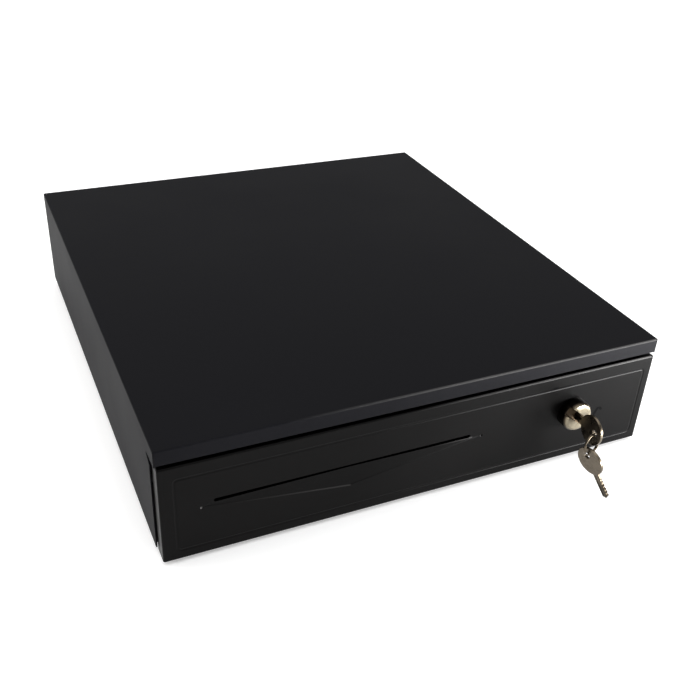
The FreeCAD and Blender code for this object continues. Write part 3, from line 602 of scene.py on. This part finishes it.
def lock_marks():
    """Short dark strokes beside the lock, standing for its turned positions."""
    front = front_y - 0.03 * MM
    back = front + 0.2 * MM
    places = []
    faces = []
    for x, z, tilt, length, width in STROKES:
        turn = math.radians(tilt)
        outline = []
        for along, aside in stroke_outline(length, width):
            across = along * math.cos(turn) - aside * math.sin(turn)
            rise = along * math.sin(turn) + aside * math.cos(turn)
            outline.append((lock_axis.x + (x + across) * MM, lock_axis.z + (z + rise) * MM))
        count = len(outline)
        near = [len(places) + i for i in range(count)]
        far = [i + count for i in near]
        places += [(mark_x, front, mark_z) for mark_x, mark_z in outline]
        places += [(mark_x, back, mark_z) for mark_x, mark_z in outline]
        faces += [near, far[::-1]]
        faces += [(near[i - 1], far[i - 1], far[i], near[i]) for i in range(count)]
    mesh = bpy.data.meshes.new("lock marks")
    mesh.from_pydata(places, [], faces)
    ink = powder_coat(
        "mark ink",
        dark=(0.0006, 0.0006, 0.0008),
        light=(0.001, 0.001, 0.0012),
        roughness=0.7,
        gloss=0.03,
    )
    show("lock_marks", mesh, "drawer", "front_paint", material=ink)


box_spring("plunger_spring", axis=0, turns=8)
box_spring("ejector_spring", axis=1, turns=6)
clip_spring_wires()
split_ring()
leads()
lock_marks()


# ---------------------------------------------------------------- floor, light and camera


def area_light(name, place, target, width, height, power, tint=WHITE):
    """Rectangular softbox that faces a target."""
    data = bpy.data.lights.new(name, "AREA")
    data.shape = "RECTANGLE"
    data.size = width
    data.size_y = height
    data.energy = power
    data.color = tint
    lamp = bpy.data.objects.new(name, data)
    lamp.location = place
    lamp.rotation_mode = "QUATERNION"
    lamp.rotation_quaternion = (Vector(target) - Vector(place)).to_track_quat("-Z", "Y")
    bpy.context.scene.collection.objects.link(lamp)


def make_floor():
    """Large pale floor just under the feet, glowing faintly."""
    reach = 12.0
    gap = 0.2 * MM
    height = cad_low.z - gap
    corners = [(x * reach, y * reach, height) for x, y in ((-1, -1), (1, -1), (1, 1), (-1, 1))]
    mesh = bpy.data.meshes.new("floor")
    mesh.from_pydata(corners, [], [(0, 1, 2, 3)])
    floor = bpy.data.objects.new("floor", mesh)
    bpy.context.scene.collection.objects.link(floor)
    shader = Shader("pale floor", scaled(WHITE, 0.86), 0.0, 0.9)
    shader.colour(shader.ramp(shader.noise(scale=0.8), scaled(WHITE, 0.85), scaled(WHITE, 0.87)))
    shader.surface.inputs["Emission Color"].default_value = (*WHITE, 1)
    shader.surface.inputs["Emission Strength"].default_value = 0.3
    mesh.materials.append(shader.material)


def make_world():
    """Soft light from overhead, faint low down, and a plain white backdrop where it is seen directly."""
    overhead = 2.5
    low_front = 0.07
    low_back = 0.76
    backdrop = 1.0
    world = bpy.data.worlds.new("studio")
    bpy.context.scene.world = world
    world.use_nodes = True
    tree = world.node_tree
    background = tree.nodes["Background"]
    background.inputs["Color"].default_value = (*WHITE, 1)
    direction = tree.nodes.new("ShaderNodeTexCoord").outputs["Generated"]
    parts = tree.nodes.new("ShaderNodeSeparateXYZ")
    tree.links.new(direction, parts.inputs["Vector"])

    def level(axis, start, end, low, high):
        made = tree.nodes.new("ShaderNodeMapRange")
        made.interpolation_type = "SMOOTHSTEP"
        for name, value in (("From Min", start), ("From Max", end), ("To Min", low), ("To Max", high)):
            made.inputs[name].default_value = value
        tree.links.new(parts.outputs[axis], made.inputs["Value"])
        return made.outputs["Result"]

    lit = tree.nodes.new("ShaderNodeMix")
    tree.links.new(level("Z", 0.66, 0.92, 0.0, 1.0), lit.inputs["Factor"])
    tree.links.new(level("Y", -0.4, 0.4, low_front, low_back), lit.inputs["A"])
    lit.inputs["B"].default_value = overhead
    seen = tree.nodes.new("ShaderNodeMix")
    tree.links.new(tree.nodes.new("ShaderNodeLightPath").outputs["Is Camera Ray"], seen.inputs["Factor"])
    tree.links.new(lit.outputs["Result"], seen.inputs["A"])
    seen.inputs["B"].default_value = backdrop
    tree.links.new(seen.outputs["Result"], background.inputs["Strength"])


def make_camera():
    """Camera at the photograph's viewing angle, which was worked out from the casing's edges."""
    data = bpy.data.cameras.new("camera")
    data.lens = 47.22
    data.sensor_width = 36.0
    camera = bpy.data.objects.new("camera", data)
    right = Vector((0.91114, -0.40945, 0.04662))
    up = Vector((0.18147, 0.50021, 0.84667))
    back = Vector((-0.36999, -0.76298, 0.53007))
    turn = Matrix((right, up, back)).transposed()
    place = Vector((-0.2944, front_y - 0.464589, 0.472046))
    camera.matrix_world = Matrix.Translation(place) @ turn.to_4x4()
    bpy.context.scene.collection.objects.link(camera)
    bpy.context.scene.camera = camera


make_floor()
make_world()
make_camera()
bpy.context.scene.view_settings.view_transform = "Standard"
# the softbox at the front stands lower than the cover's top, so that the top doesn't mirror it
area_light(
    "right front",
    place=(0.47, -0.54, 0.05),
    target=(0.12, -0.15, 0.05),
    width=0.36,
    height=0.09,
    power=10.2,
)
area_light(
    "left",
    place=(-0.95, 0.12, 0.34),
    target=(-0.30, 0.02, 0.0),
    width=0.7,
    height=0.3,
    power=2.0,
    tint=(1.0, 0.94, 0.90),
)
